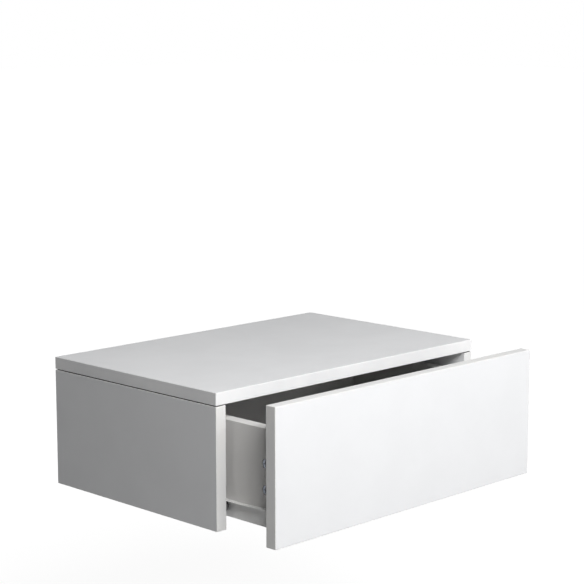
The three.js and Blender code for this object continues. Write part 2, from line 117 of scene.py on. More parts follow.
def finish(tree, shader, colour, roughness, height, strength, distance):
    """Gives a shader the colour and roughness that change over the surface, and a height as its bump."""
    given = {"Strength": strength, "Distance": distance, "Height": height}
    bump = add_node(tree, "ShaderNodeBump", given)
    tree.links.new(colour, shader.inputs["Base Color"])
    tree.links.new(roughness, shader.inputs["Roughness"])
    tree.links.new(bump.outputs[0], shader.inputs["Normal"])


# Where a board's bands lie, the hairline of glue beside them, and how near a point is to a corner.
edges, given, result = new_group(
    "board edges",
    {
        "Middle": ("Vector", (0, 0, 0)),
        "Half size": ("Vector", (1, 1, 1)),
        "Unbanded": ("Vector", (0, 0, 0)),
        "Band thickness": ("Float", 0.0008),
    },
    {"Band": "Float", "Glue line": "Float", "Rim": "Float"},
)
offset = vector_step(edges, "SUBTRACT", object_place(edges), given["Middle"])
inset = vector_step(edges, "SUBTRACT", given["Half size"], vector_step(edges, "ABSOLUTE", offset))
banded = vector_step(edges, "ADD", inset, given["Unbanded"])
x, y, z = add_node(edges, "ShaderNodeSeparateXYZ", {0: banded}).outputs
nearest = arithmetic(edges, "MINIMUM", arithmetic(edges, "MINIMUM", x, y), z)
past = arithmetic(edges, "SUBTRACT", nearest, given["Band thickness"])
edges.links.new(ramp(edges, past, 0.00002, -0.00002), result["Band"])
glue_line = ramp(edges, arithmetic(edges, "ABSOLUTE", past), 0.00005, 0.00016, 1, 0)
edges.links.new(glue_line, result["Glue line"])
x, y, z = add_node(edges, "ShaderNodeSeparateXYZ", {0: inset}).outputs
smaller, larger = arithmetic(edges, "MINIMUM", x, y), arithmetic(edges, "MAXIMUM", x, y)
second = arithmetic(edges, "MAXIMUM", smaller, arithmetic(edges, "MINIMUM", larger, z))
edges.links.new(ramp(edges, second, 0.0003, 0.0022, 1, 0), result["Rim"])

# A fine pressed texture with a faint cloudiness, as on coated board, painted sheet and moulded plastic.
pressed, given, result = new_group(
    "pressed texture",
    {"Grain": ("Float", 1800.0), "Clouds": ("Float", 14.0)},
    {"Height": "Float", "Cloud": "Float"},
)
place = object_place(pressed)
fine = noise(pressed, place, given["Grain"])
around = {"Vector": place, "Scale": given["Grain"]}
cells = add_node(pressed, "ShaderNodeTexVoronoi", around, feature="SMOOTH_F1")
dimples = arithmetic(pressed, "MULTIPLY", cells.outputs["Distance"], 0.6)
pressed.links.new(arithmetic(pressed, "ADD", fine, dimples), result["Height"])
pressed.links.new(noise(pressed, place, given["Clouds"], 3.0, 0.6), result["Cloud"])


def pressed_surface(tree, grain, clouds):
    given = {"Grain": grain, "Clouds": clouds}
    texture = add_node(tree, "ShaderNodeGroup", given, node_tree=pressed).outputs
    return texture["Height"], texture["Cloud"]


def coated_board(name, low, high, face, band, unbanded):
    clouded, glue, scuffed = [part * 0.965 for part in face], (0.33, 0.31, 0.28), (0.55, 0.54, 0.52)
    material, tree, shader = new_material(name, face, roughness=0.5)
    shader.inputs["Specular IOR Level"].default_value = 0.25
    given = {"Middle": (low + high) / 2, "Half size": (high - low) / 2, "Unbanded": unbanded}
    edge = add_node(tree, "ShaderNodeGroup", given, node_tree=edges).outputs
    height, cloud = pressed_surface(tree, grain=1800.0, clouds=14.0)
    scuffs = ramp(tree, noise(tree, object_place(tree), scale=90, detail=4, roughness=0.7), 0.5, 0.72)
    worn = arithmetic(tree, "MULTIPLY", arithmetic(tree, "MULTIPLY", edge["Rim"], scuffs), 0.25)
    colour = blend_colours(tree, edge["Band"], face, band)
    colour = blend_colours(tree, ramp(tree, cloud, 0.3, 0.7, 0.0, 0.5), colour, clouded)
    colour = blend_colours(tree, arithmetic(tree, "MULTIPLY", edge["Glue line"], 0.3), colour, glue)
    colour = blend_colours(tree, worn, colour, scuffed)
    rough = ramp(tree, cloud, 0.3, 0.7, 0.47, 0.54)
    rough = arithmetic(tree, "ADD", rough, arithmetic(tree, "MULTIPLY", worn, 0.3))
    relief = arithmetic(tree, "SUBTRACT", height, edge["Glue line"])
    finish(tree, shader, colour, rough, relief, strength=0.12, distance=0.00008)
    return material


def chipboard(name, dark, light, dusty):
    """Pressed chips, as they show on the wall of every bore and groove."""
    material, tree, shader = new_material(name, dark, roughness=0.85)
    around = {"Vector": object_place(tree), "Scale": 700.0}
    chips = add_node(tree, "ShaderNodeTexVoronoi", around).outputs
    dust = noise(tree, object_place(tree), scale=1600, detail=3)
    shade = add_node(tree, "ShaderNodeSeparateColor", {0: chips["Color"]}).outputs[0]
    colour = blend_colours(tree, shade, dark, light)
    colour = blend_colours(tree, ramp(tree, dust, 0.4, 0.7, 0, 0.5), colour, dusty)
    rough = ramp(tree, dust, 0.3, 0.7, 0.78, 0.95)
    relief = arithmetic(tree, "ADD", chips["Distance"], dust)
    finish(tree, shader, colour, rough, relief, strength=0.5, distance=0.0003)
    return material


core = chipboard("chipboard_core", (0.3, 0.2, 0.11), (0.55, 0.42, 0.27), (0.62, 0.52, 0.38))
# Near-black chipboard for the side panels' upper edges: painted shade, for the dark line under the top
# panel.
painted_shade_edge = chipboard("painted_shade_edge", (0.045, 0.045, 0.047), (0.075, 0.075, 0.08), (0.1, 0.1, 0.1))


def choose(*pieces):
    bpy.ops.object.select_all(action="DESELECT")
    for piece in pieces:
        piece.select_set(True)
    bpy.context.view_layer.objects.active = pieces[0]


def settle(piece):
    """The piece's place goes into its mesh, so that its object sits at the origin."""
    choose(piece)
    bpy.ops.object.transform_apply(location=True, rotation=True, scale=True)
    return piece


def apply_modifier(piece, kind, **settings):
    choose(piece)
    modifier = piece.modifiers.new(kind.lower(), kind)
    for key, value in settings.items():
        setattr(modifier, key, value)
    bpy.ops.object.modifier_apply(modifier=modifier.name)


def block(name, low, high):
    low, high = Vector(low), Vector(high)
    bpy.ops.object.select_all(action="DESELECT")
    bpy.ops.mesh.primitive_cube_add(size=1, location=(low + high) / 2)
    piece = bpy.context.object
    piece.name = piece.data.name = name
    piece.scale = high - low
    return settle(piece)


def drill(face, run, radius, deep, sides=40):
    """A round cutter that runs from just outside a face into the board."""
    run = Vector(run)
    bpy.ops.object.select_all(action="DESELECT")
    bpy.ops.mesh.primitive_cylinder_add(
        vertices=sides,
        radius=radius,
        depth=deep + 0.001,
        location=Vector(face) + run * (deep - 0.001) / 2,
        rotation=run.to_track_quat("Z", "Y").to_euler(),
    )
    return settle(bpy.context.object)


def cut_out(piece, cutters, inside=None):
    """The walls of what is cut out get the material inside, or else keep the piece's own."""
    if inside:
        for cutter in cutters:
            cutter.data.materials.append(inside)
    choose(*cutters)
    if len(cutters) > 1:
        bpy.ops.object.join()
    cutter = bpy.context.object
    apply_modifier(
        piece,
        "BOOLEAN",
        object=cutter,
        operation="DIFFERENCE",
        solver="EXACT",
        use_self=True,
        material_mode="TRANSFER" if inside else "INDEX",
    )
    bpy.data.objects.remove(cutter)


def ease_all(piece, radius):
    choose(piece)
    bpy.ops.object.mode_set(mode="EDIT")
    bpy.ops.mesh.select_all(action="SELECT")
    bpy.ops.mesh.bevel(offset=radius, segments=3, affect="EDGES")
    bpy.ops.object.mode_set(mode="OBJECT")


def smooth(piece, angle=40):
    choose(piece)
    bpy.ops.object.shade_smooth_by_angle(angle=math.radians(angle))
    apply_modifier(piece, "WEIGHTED_NORMAL", keep_sharp=True, weight=80)


def fit(piece, node, body):
    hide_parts(node)
    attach(piece, body)


def board(node, coating, face, band, unbanded, easing=0.0009, sunk=0.0):
    """A node's board, eased and coated. The axis across its faces, where no band lies, is given as 1."""
    low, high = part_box(node)
    high.z -= sunk
    piece = block(node + "_board", low, high)
    ease_all(piece, easing)
    piece.data.materials.append(coated_board(coating, low, high, face, band, unbanded))
    return piece


hands = (("left", -1), ("right", 1))
# The faces have a faint cool cast and the bands a faint warm one: painted tints of cool ambient light
# and warm front light.
white_face, white_band = (0.795, 0.8, 0.81), (0.815, 0.81, 0.795)
panel_inner, panel_middle, sunk_edge = 0.28, 0.29, 0.0299
top_joints, top_cam_height = {"front": -0.33, "rear": -0.06}, -0.004
rear_joint, rear_bolt_height, dowel_height = -0.015, -0.064, -0.004
panel_screw_rows, panel_screw_height = (-0.351, -0.076), -0.1321
cam_radius = 0.0075
cam_bore, cam_bore_depth = cam_radius + 0.0002, 0.0147
shank_hole, thread_hole = {"radius": 0.0037, "deep": 0.034}, {"radius": 0.0041, "deep": 0.0112}
dowel_hole, pilot_hole = 0.0042, 0.0018

for hand, side in hands:
    node, coating = f"{hand}_side_panel", f"{hand}_panel_coating"
    panel = board(node, coating, white_face, white_band, (1, 0, 0), sunk=0.0014)
    inner, middle, run = side * panel_inner, side * panel_middle, (side, 0, 0)
    rows = top_joints.values()
    holes = [drill((inner, y, top_cam_height), run, cam_bore, cam_bore_depth) for y in rows]
    holes += [drill((middle, y, sunk_edge), (0, 0, -1), **shank_hole) for y in rows]
    holes.append(drill((inner, rear_joint, rear_bolt_height), run, **thread_hole))
    holes.append(drill((inner, rear_joint, dowel_height), run, dowel_hole, deep=0.0102))
    pilot_places = [(inner, y, panel_screw_height) for y in panel_screw_rows]
    holes += [drill(place, run, pilot_hole, deep=0.0132, sides=24) for place in pilot_places]
    cut_out(panel, holes, core)
    # The upper edge is coloured near-black: painted shade in the gap under the top panel.
    panel.data.materials.append(painted_shade_edge)
    for face in panel.data.polygons:
        if face.normal.z > 0.99 and face.center.z > 0.02:
            face.material_index = len(panel.data.materials) - 1
    smooth(panel)
    fit(panel, node, "carcass")

# Rear board
# 16 mm board between the side panels, set in from the wall by the hanging hardware.
# It takes a cam bolt and a dowel at each end, the hook bracket screws and the pegs of the spacer pads.

rear_face, rear_end, rear_back = (0.74, 0.735, 0.72), 0.2799, -0.007
rear_cam_x, rear_cam_y = 0.246, -0.023
spacer_x, spacer_height, peg_hole = 0.22, -0.128, 0.0042
hook_screw_columns, hook_screw_height = (0.132, 0.168), -0.018

piece = board("rear_board", "rear_board_coating", rear_face, white_band, (0, 1, 0), easing=0.0004)
holes = []
for side in (-1, 1):
    end, inwards, forwards = side * rear_end, (-side, 0, 0), (0, -1, 0)
    cam_face = (side * rear_cam_x, rear_cam_y, rear_bolt_height)
    holes.append(drill(cam_face, (0, 1, 0), cam_bore, deep=0.0127))
    holes.append(drill((end, rear_joint, rear_bolt_height), inwards, **shank_hole))
    holes.append(drill((end, rear_joint, dowel_height), inwards, dowel_hole, deep=0.0202))
    holes.append(drill((side * spacer_x, rear_back, spacer_height), forwards, peg_hole, deep=0.0082))
    for x in hook_screw_columns:
        place = (side * x, rear_back, hook_screw_height)
        holes.append(drill(place, forwards, radius=0.0022, deep=0.0121, sides=24))
cut_out(piece, holes, core)
smooth(piece)
fit(piece, "rear_board", "carcass")

# Dowels
# Fluted beech pins, 8 mm thick, that line the rear board up with the side panels.


def turn(name, profile, sides):
    """A disc that is extruded up and scaled step by step through [radius, height] pairs."""
    radius, level = profile[0]
    bpy.ops.object.select_all(action="DESELECT")
    start = (0, 0, level)
    bpy.ops.mesh.primitive_circle_add(vertices=sides, radius=radius, fill_type="NGON", location=start)
    piece = settle(bpy.context.object)
    piece.name = piece.data.name = name
    bpy.ops.object.mode_set(mode="EDIT")
    bpy.ops.mesh.select_all(action="SELECT")
    for next_radius, next_level in profile[1:]:
        bpy.ops.mesh.extrude_region_move(TRANSFORM_OT_translate={"value": (0, 0, next_level - level)})
        share = next_radius / radius
        bpy.ops.transform.resize(value=(share, share, 1), center_override=(0, 0, next_level))
        radius, level = next_radius, next_level
    bpy.ops.mesh.select_all(action="SELECT")
    bpy.ops.mesh.normals_make_consistent(inside=False)
    bpy.ops.object.mode_set(mode="OBJECT")
    return piece


def aim(piece, place, direction, beside=None):
    """Turns a piece's Z along a direction and its X towards another, and moves it to its place."""
    up = Vector(direction).normalized()
    across = Vector(beside).normalized() if beside else up.orthogonal().normalized()
    turned = Matrix((across, up.cross(across), up)).transposed().to_4x4()
    piece.matrix_world = Matrix.Translation(place) @ turned
    return settle(piece)


def put(model, name, node, body, place, direction, beside=None):
    """A copy of a model, turned and moved to its place, that stands for a node."""
    choose(model)
    bpy.ops.object.duplicate()
    piece = bpy.context.object
    piece.name = piece.data.name = name
    aim(piece, place, direction, beside)
    smooth(piece, angle=35)
    fit(piece, node, body)


def select_where(piece, kind, test):
    """Goes into edit mode with just the vertices, edges or faces that pass a test selected."""
    choose(piece)
    bpy.ops.object.mode_set(mode="EDIT")
    bpy.ops.mesh.select_mode(type={"verts": "VERT", "edges": "EDGE", "faces": "FACE"}[kind])
    bpy.ops.mesh.select_all(action="DESELECT")
    mesh = bmesh.from_edit_mesh(piece.data)
    for part in getattr(mesh, kind):
        if test(part):
            part.select_set(True)
    mesh.select_flush_mode()
    bmesh.update_edit_mesh(piece.data)


def stretched_place(tree, scale):
    """Object coordinates that are drawn out along an axis, for wood grain, streaks and fibres."""
    return add_node(tree, "ShaderNodeMapping", {"Vector": object_place(tree), "Scale": scale}).outputs[0]


def beech_wood():
    light, dark, ray = (0.6, 0.43, 0.25), (0.43, 0.28, 0.14), (0.3, 0.18, 0.09)
    material, tree, shader = new_material("beech", (0.55, 0.38, 0.21), roughness=0.6)
    place = stretched_place(tree, (60, 900, 900))
    grain = noise(tree, place, scale=1.0, detail=4, roughness=0.6)
    flecks = add_node(tree, "ShaderNodeTexVoronoi", {"Vector": place, "Scale": 2.0}).outputs["Distance"]
    colour = blend_colours(tree, ramp(tree, grain, 0.35, 0.7), light, dark)
    colour = blend_colours(tree, ramp(tree, flecks, 0.0, 0.25, 0.5, 0), colour, ray)
    rough = ramp(tree, grain, 0.3, 0.7, 0.52, 0.68)
    finish(tree, shader, colour, rough, grain, strength=0.4, distance=0.0002)
    return material


dowel_start, dowel_length, dowel_sides = 0.29, 0.03, 48


def in_a_flute(vert):
    """Every fourth row of points, between the dowel's chamfered ends."""
    row = round(math.atan2(vert.co.y, vert.co.x) / math.tau * dowel_sides)
    return abs(vert.co.z - dowel_length / 2) < 0.0141 and row % 4 == 0


dowel = turn("dowel", [(0.003, 0), (0.004, 0.001), (0.004, 0.029), (0.003, dowel_length)], dowel_sides)
select_where(dowel, "verts", in_a_flute)
bpy.ops.transform.resize(value=(0.92, 0.92, 1), center_override=(0, 0, dowel_length / 2))
bpy.ops.object.mode_set(mode="OBJECT")
dowel.data.materials.append(beech_wood())
for hand, side in hands:
    node, place = f"{hand}_rear_board_dowel", (side * dowel_start, rear_joint, dowel_height)
    put(dowel, node + "_fluted", node, "carcass", place, (-side, 0, 0))
bpy.data.objects.remove(dowel)

# Cam fittings
# Ten pairs: a zinc cam, 15 mm across, let into the face of one board, and a plated bolt in the other.
# A turn of the cam's cross recess draws the bolt's head in. The cam's face lies just under the board's.
# The six of the carcass are closed with white snap caps: the photo shows no bare one there.


def zinc(name, colour, dark, roughness, grain, blotches):
    material, tree, shader = new_material(name, colour, roughness, metallic=1.0)
    height, cloud = pressed_surface(tree, grain, blotches)
    tone = blend_colours(tree, ramp(tree, cloud, 0.35, 0.68), colour, dark)
    rough = ramp(tree, cloud, 0.3, 0.7, roughness - 0.06, roughness + 0.1)
    finish(tree, shader, tone, rough, height, strength=0.25, distance=0.0001)
    return material


def moulded(name, colour, roughness):
    material, tree, shader = new_material(name, colour, roughness)
    height, cloud = pressed_surface(tree, grain=2200.0, clouds=60.0)
    lighter = [min(1, part * 1.35 + 0.01) for part in colour]
    tone = blend_colours(tree, ramp(tree, cloud, 0.3, 0.75, 0, 0.6), colour, lighter)
    rough = ramp(tree, cloud, 0.3, 0.7, roughness - 0.05, roughness + 0.08)
    finish(tree, shader, tone, rough, height, strength=0.2, distance=0.0001)
    return material


# The cams' zinc is coloured dark and bluish instead of pale grey: painted shade of their bores and a
# painted blue reflection.
die_cast_painted_shade = zinc(
    "zinc_die_cast",
    colour=(0.22, 0.235, 0.26),
    dark=(0.13, 0.14, 0.165),
    roughness=0.42,
    grain=3500,
    blotches=260,
)
plated = zinc(
    "zinc_plate",
    colour=(0.66, 0.68, 0.7),
    dark=(0.5, 0.54, 0.58),
    roughness=0.3,
    grain=2600,
    blotches=120,
)
cap_plastic = moulded("cap_plastic", [part * 0.97 for part in white_face], roughness=0.45)


def cross_recess(arm, thick, deep, level):
    """Four tapered wings that meet in the middle, for a driver."""
    wings = []
    for turned_by in (0, math.pi / 2):
        wing = block("wing", (-arm, -thick / 2, level - deep), (arm, thick / 2, level + 0.001))
        select_where(wing, "faces", lambda f: f.normal.z < -0.9)
        bpy.ops.transform.resize(value=(0.45, 0.7, 1), center_override=(0, 0, level - deep))
        bpy.ops.object.mode_set(mode="OBJECT")
        wing.rotation_euler.z = turned_by
        wings.append(settle(wing))
    return wings


def cam_model(axis_depth, capped):
    """A cam whose bolt comes in along X at a depth, with a cap or an open cross recess."""
    bottom = -axis_depth - 0.0045
    profile = [(0.0071, bottom), (cam_radius, bottom + 0.0004), (cam_radius, -0.0005), (0.0072, -0.0002)]
    if capped:
        profile += [(0.0072, 0.00005), (0.0084, 0.00005), (0.0087, 0.0003)]
        profile += [(0.0085, 0.0006), (0.0074, 0.0008), (0.005, 0.0009)]
    else:
        profile += [(0.0066, -0.0002), (0.0063, -0.0007), (0.0060, -0.0007), (0.0058, -0.0003)]
    cam = turn("cam", profile, 56)
    bolt_way = drill((0.009, 0, -axis_depth), (-1, 0, 0), radius=0.0024, deep=0.011, sides=20)
    pocket = drill((0.0022, 0, -axis_depth), (-1, 0, 0), radius=0.0034, deep=0.0044, sides=20)
    recess = [] if capped else cross_recess(arm=0.0055, thick=0.0016, deep=0.003, level=-0.0003)
    cut_out(cam, recess + [bolt_way, pocket])
    cam.data.materials.append(die_cast_painted_shade)
    if capped:
        cam.data.materials.append(cap_plastic)
        for face in cam.data.polygons:
            face.material_index = 1 if face.center.z > 0 else 0
    return cam


def ridges(crest, start, end, pitch, depth):
    """The stepped outline of a thread from one height to another."""
    root, count, outline = crest - depth, round((end - start) / pitch), []
    for i in range(count):
        level = start + (end - start) * i / count
        outline += [(root, level + pitch * 0.1), (crest, level + pitch * 0.5)]
        outline.append((root, level + pitch * 0.9))
    return outline


profile = [(0.0030, -0.011)]
profile += ridges(crest=0.0039, start=-0.0108, end=-0.0008, pitch=0.0018, depth=0.0007)
profile += [(0.0039, -0.0005), (0.0039, 0.0), (0.0035, 0.0002), (0.0035, 0.0255), (0.0031, 0.0261)]
profile += [(0.0022, 0.0262), (0.0022, 0.032), (0.0032, 0.0323), (0.0032, 0.0354), (0.0026, 0.036)]
bolt = turn("bolt", profile, 28)
bolt.data.materials.append(plated)
top_cam = cam_model(axis_depth=0.01, capped=True)
rear_cam = cam_model(axis_depth=0.008, capped=True)
front_cam = cam_model(axis_depth=0.01, capped=False)


def cam_joint(joint, body, bolt_face, bolt_run, cam, cam_face, outward):
    put(bolt, joint + "_threaded_bolt", joint + "_bolt", body, bolt_face, bolt_run)
    towards_bolt = [-part for part in bolt_run]
    put(cam, joint + "_fitting", joint, body, cam_face, outward, towards_bolt)


top_underside = 0.03
front_joints, front_rear_face, front_cam_y = {"lower": -0.091, "upper": -0.051}, -0.496, -0.462
drawer_outer, drawer_middle = 0.2675, 0.2575

for hand, side in hands:
    inwards = (-side, 0, 0)
    for end, y in top_joints.items():
        bolt_face = (side * panel_middle, y, top_underside)
        cam_face = (side * panel_inner, y, top_cam_height)
        cam_joint(f"{hand}_{end}_top_cam", "carcass", bolt_face, (0, 0, -1), top_cam, cam_face, inwards)
    bolt_face = (side * panel_inner, rear_joint, rear_bolt_height)
    cam_face = (side * rear_cam_x, rear_cam_y, rear_bolt_height)
    cam_joint(f"{hand}_rear_board_cam", "carcass", bolt_face, inwards, rear_cam, cam_face, (0, -1, 0))
    for level, z in front_joints.items():
        joint = f"{hand}_{level}_front_cam"
        bolt_face = (side * drawer_middle, front_rear_face, z)
        cam_face = (side * drawer_outer, front_cam_y, z)
        cam_joint(joint, "drawer", bolt_face, (0, 1, 0), front_cam, cam_face, (side, 0, 0))
for model in (bolt, top_cam, rear_cam, front_cam):
    bpy.data.objects.remove(model)

# Top panel
# 20 mm board as wide and deep as the carcass, banded on all four edges, on top of the side panels.
# The cam bolts are screwed into its lower face, over the middle of each side panel.

# The top panel's bands are whiter than the others: painted light, lifting its front edge where the open
# drawer front shades it.
top_band_painted_light = (0.87, 0.87, 0.87)

piece = board("top_panel", "top_panel_coating", white_face, top_band_painted_light, (0, 0, 1))
columns = (-panel_middle, panel_middle)
bolt_places = [(x, y, top_underside) for x in columns for y in top_joints.values()]
cut_out(piece, [drill(place, (0, 0, 1), **thread_hole) for place in bolt_places], core)
smooth(piece)
fit(piece, "top_panel", "carcass")

# Wall rail and hook brackets
# 2 mm plated steel, folded. The rail is screwed to the wall, and its lip stands off the wall.
# Two brackets on the rear board hook over the lip, each with two countersunk screws.


def folded_sheet(name, path, start, end, along, bend):
    """A leaf without thickness, extruded along its [across, up] path from corner to rounded corner."""
    run_is_x = along == "X"
    (a0, z0), (a1, z1) = path[:2]
    length = math.hypot(a1 - a0, z1 - z0)
    slope = math.atan2(z1 - z0, a1 - a0)
    middle = ((a0 + a1) / 2, (z0 + z1) / 2, (start + end) / 2)
    bpy.ops.object.select_all(action="DESELECT")
    bpy.ops.mesh.primitive_plane_add(size=1)
    sheet = bpy.context.object
    sheet.name = sheet.data.name = name
    if run_is_x:
        sheet.location, sheet.rotation_euler = (middle[2], middle[0], middle[1]), (slope, 0, 0)
        sheet.scale = (end - start, length, 1)
    else:
        sheet.location, sheet.rotation_euler = (middle[0], middle[2], middle[1]), (0, -slope, 0)
        sheet.scale = (length, end - start, 1)
    settle(sheet)
    across = 1 if run_is_x else 0

    def at(corner):
        a, z = corner
        return lambda edge: all(math.hypot(v.co[across] - a, v.co.z - z) < 1e-5 for v in edge.verts)

    for here, there in zip(path[1:], path[2:]):
        select_where(sheet, "edges", at(here))
        shift = [0, 0, there[1] - here[1]]
        shift[across] = there[0] - here[0]
        bpy.ops.mesh.extrude_region_move(TRANSFORM_OT_translate={"value": shift})
        bpy.ops.object.mode_set(mode="OBJECT")
    for corner in path[1:-1]:
        select_where(sheet, "edges", at(corner))
        bpy.ops.mesh.bevel(offset=bend, segments=5, affect="EDGES")
        bpy.ops.object.mode_set(mode="OBJECT")
    return sheet


def face_outwards(piece):
    select_where(piece, "faces", lambda f: True)
    bpy.ops.mesh.normals_make_consistent(inside=False)
    bpy.ops.object.mode_set(mode="OBJECT")


def thicken(sheet, thick):
    face_outwards(sheet)
    apply_modifier(sheet, "SOLIDIFY", thickness=thick, offset=0, use_even_offset=True)
    face_outwards(sheet)


def countersink(face, run, head, shank, sink, deep):
    """A cutter with a conical mouth for a screw's head, and the hole for its shank."""
    run = Vector(run)
    slope = (head - shank) / sink
    mouth = head + slope * 0.0002
    bpy.ops.object.select_all(action="DESELECT")
    bpy.ops.mesh.primitive_cone_add(
        vertices=32,
        radius1=mouth,
        radius2=0,
        depth=mouth / slope,
        location=Vector(face) + run * (mouth / slope / 2 - 0.0002),
        rotation=run.to_track_quat("Z", "Y").to_euler(),
    )
    return [settle(bpy.context.object), drill(face, run, shank, deep, 32)]


def screw_holes(places, run, sizes):
    return [cutter for place in places for cutter in countersink(place, run, **sizes)]


def screw_model(head, sink, shank, length, tip):
    neck = shank * 0.85
    profile = [(head - 0.0002, 0.0), (head, 0.0002), (neck, sink), (neck, sink + 0.0018)]
    profile += ridges(shank, sink + 0.002, length - tip, pitch=0.0014, depth=shank * 0.22)
    profile += [(shank * 0.75, length - tip + 0.0004), (0.0001, length)]
    screw = turn("screw", [(radius, -level) for radius, level in reversed(profile)], 28)
    cut_out(screw, cross_recess(arm=head * 0.55, thick=head * 0.2, deep=sink * 0.8, level=0))
    screw.data.materials.append(plated)
    return screw


def put_screw(model, node, body, place, run):
    put(model, node + "_threaded", node, body, place, [-part for part in run])


def put_screws(model, node, body, places, run):
    for i, place in enumerate(places):
        put_screw(model, f"{node}_{i + 1}", body, place, run)


hanger_steel = 0.002
rail_path = [(-0.001, -0.012), (-0.001, 0.011), (-0.0036, 0.011), (-0.0036, 0.024)]
rail = folded_sheet("wall_rail_folded", rail_path, start=-0.22, end=0.22, along="X", bend=0.00115)
thicken(rail, hanger_steel)
wall_holes = [(x, -hanger_steel, 0) for x in (-0.165, -0.055, 0.055, 0.165)]
cut_out(rail, [drill(place, (0, 1, 0), radius=0.0026, deep=0.004, sides=32) for place in wall_holes])
rail.data.materials.append(plated)
smooth(rail)
fit(rail, "wall_rail", "carcass")

hook_path = [(-0.0013, 0.014), (-0.0013, 0.0253), (-0.0059, 0.0253), (-0.0059, -0.026)]
hook_back = -0.0049
hook_screw_hole = {"head": 0.0042, "shank": 0.0022, "sink": 0.002, "deep": 0.004}
hook_screw = screw_model(head=0.004, sink=0.002, shank=0.002, length=0.014, tip=0.003)
for hand, side in hands:
    node, ends = f"{hand}_hook_bracket", sorted((side * 0.12, side * 0.18))
    hook = folded_sheet(node + "_folded", hook_path, *ends, along="X", bend=0.0016)
    thicken(hook, hanger_steel)
    screw_places = [(side * x, hook_back, hook_screw_height) for x in hook_screw_columns]
    cut_out(hook, screw_holes(screw_places, (0, -1, 0), hook_screw_hole))
    hook.data.materials.append(plated)
    smooth(hook)
    fit(hook, node, "carcass")
    put_screws(hook_screw, node + "_screw", "carcass", screw_places, (0, -1, 0))
bpy.data.objects.remove(hook_screw)

# Spacer pads
# Black moulded pads that keep the cabinet upright against the wall, pegged into the rear board.

profile = [(0.0112, -0.007), (0.0119, -0.0064), (0.012, -0.0058), (0.012, -0.0008), (0.0114, -0.0001)]
profile += [(0.004, -0.0001), (0.0036, 0.001), (0.004, 0.002), (0.0036, 0.0035)]
profile += [(0.004, 0.0045), (0.0036, 0.006), (0.003, 0.008)]
pad = turn("pad", profile, 48)
dimple_ring, wall_end = 0.0082, -0.007
angles = [math.tau * i / 6 for i in range(6)]
dimple_places = [(dimple_ring * math.cos(a), dimple_ring * math.sin(a), wall_end) for a in angles]
cut_out(pad, [drill(place, (0, 0, 1), radius=0.0013, deep=0.0012, sides=16) for place in dimple_places])
pad.data.materials.append(moulded("spacer_plastic", (0.018, 0.018, 0.02), roughness=0.5))
for hand, side in hands:
    node, place = f"{hand}_wall_spacer", (side * spacer_x, rear_back, spacer_height)
    put(pad, node + "_pad", node, "carcass", place, (0, -1, 0))
bpy.data.objects.remove(pad)

# Cabinet runners
# Channels of 1.2 mm steel with a white epoxy coat, screwed to the side panels, open towards the drawer.
# The upper flange stops short of the front roller, whose axle is riveted on. A tab closes the rear end.


def epoxy_coat():
    colour, duller, streak = (0.88, 0.88, 0.875), (0.84, 0.835, 0.82), (0.5, 0.5, 0.5)
    material, tree, shader = new_material("runner_paint", colour, roughness=0.36)
    height, cloud = pressed_surface(tree, grain=900.0, clouds=30.0)
    place = stretched_place(tree, (900, 14, 900))
    streaks = ramp(tree, noise(tree, place, scale=1.0, detail=3, roughness=0.6), 0.55, 0.75)
    tone = blend_colours(tree, ramp(tree, cloud, 0.3, 0.7), colour, duller)
    tone = blend_colours(tree, arithmetic(tree, "MULTIPLY", streaks, 0.2), tone, streak)
    rough = ramp(tree, streaks, 0, 1, 0.34, 0.46)
    finish(tree, shader, tone, rough, height, strength=0.2, distance=0.0002)
    return material


runner_paint = epoxy_coat()
roller_plastic = moulded("roller_plastic", (0.12, 0.12, 0.125), roughness=0.42)


def side_block(name, side, across, along, up):
    """A block on one hand. Its span across is measured outwards from the middle of the cabinet."""
    left, right = sorted(side * distance for distance in across)
    return block(name, (left, along[0], up[0]), (right, along[1], up[1]))


def join(piece, *others):
    choose(piece, *others)
    bpy.ops.object.join()


def rivet(web, direction, y, z):
    """The roller's axle, with its head, standing out of a web."""
    profile = [(0.0018, -0.0006), (0.002, -0.0005), (0.002, 0.0088)]
    profile += [(0.0030, 0.0089), (0.0032, 0.0091), (0.0028, 0.0094)]
    axle = turn("axle", profile, 32)
    axle.data.materials.append(plated)
    return aim(axle, (web, y, z), direction)


def deburr(piece):
    sharp = math.radians(50)
    apply_modifier(piece, "BEVEL", width=0.00015, segments=2, limit_method="ANGLE", angle_limit=sharp)


half = 0.0041
profile = [(0.0034, -half), (0.0036, -half + 0.0002), (0.0036, -half + 0.0012)]
profile += [(0.0072, -half + 0.0012), (0.0074, -half), (0.0082, -half)]
profile += [(0.0088, -half + 0.0004), (0.009, -half + 0.001)]
profile += [(radius, -level) for radius, level in reversed(profile)]
wheel = turn("wheel", profile, 64)
cut_out(wheel, [drill((0, 0, -half), (0, 0, 1), radius=0.00215, deep=2 * half + 0.002, sides=32)])
wheel.data.materials.append(roller_plastic)
runner_steel = 0.0012
runner_screw_hole = {"head": 0.0032, "shank": 0.0018, "sink": 0.0013, "deep": 0.003}
runner_screw = screw_model(head=0.003, sink=0.0013, shank=0.0016, length=0.014, tip=0.003)

channel_front, channel_rear, channel_top, channel_bottom = -0.388, -0.038, -0.1222, -0.142
front_roller_x, front_axle_y, front_axle_z = 0.2742, -0.376, -0.1305
spare_channel_holes = (-0.32, -0.256, -0.192, -0.128)

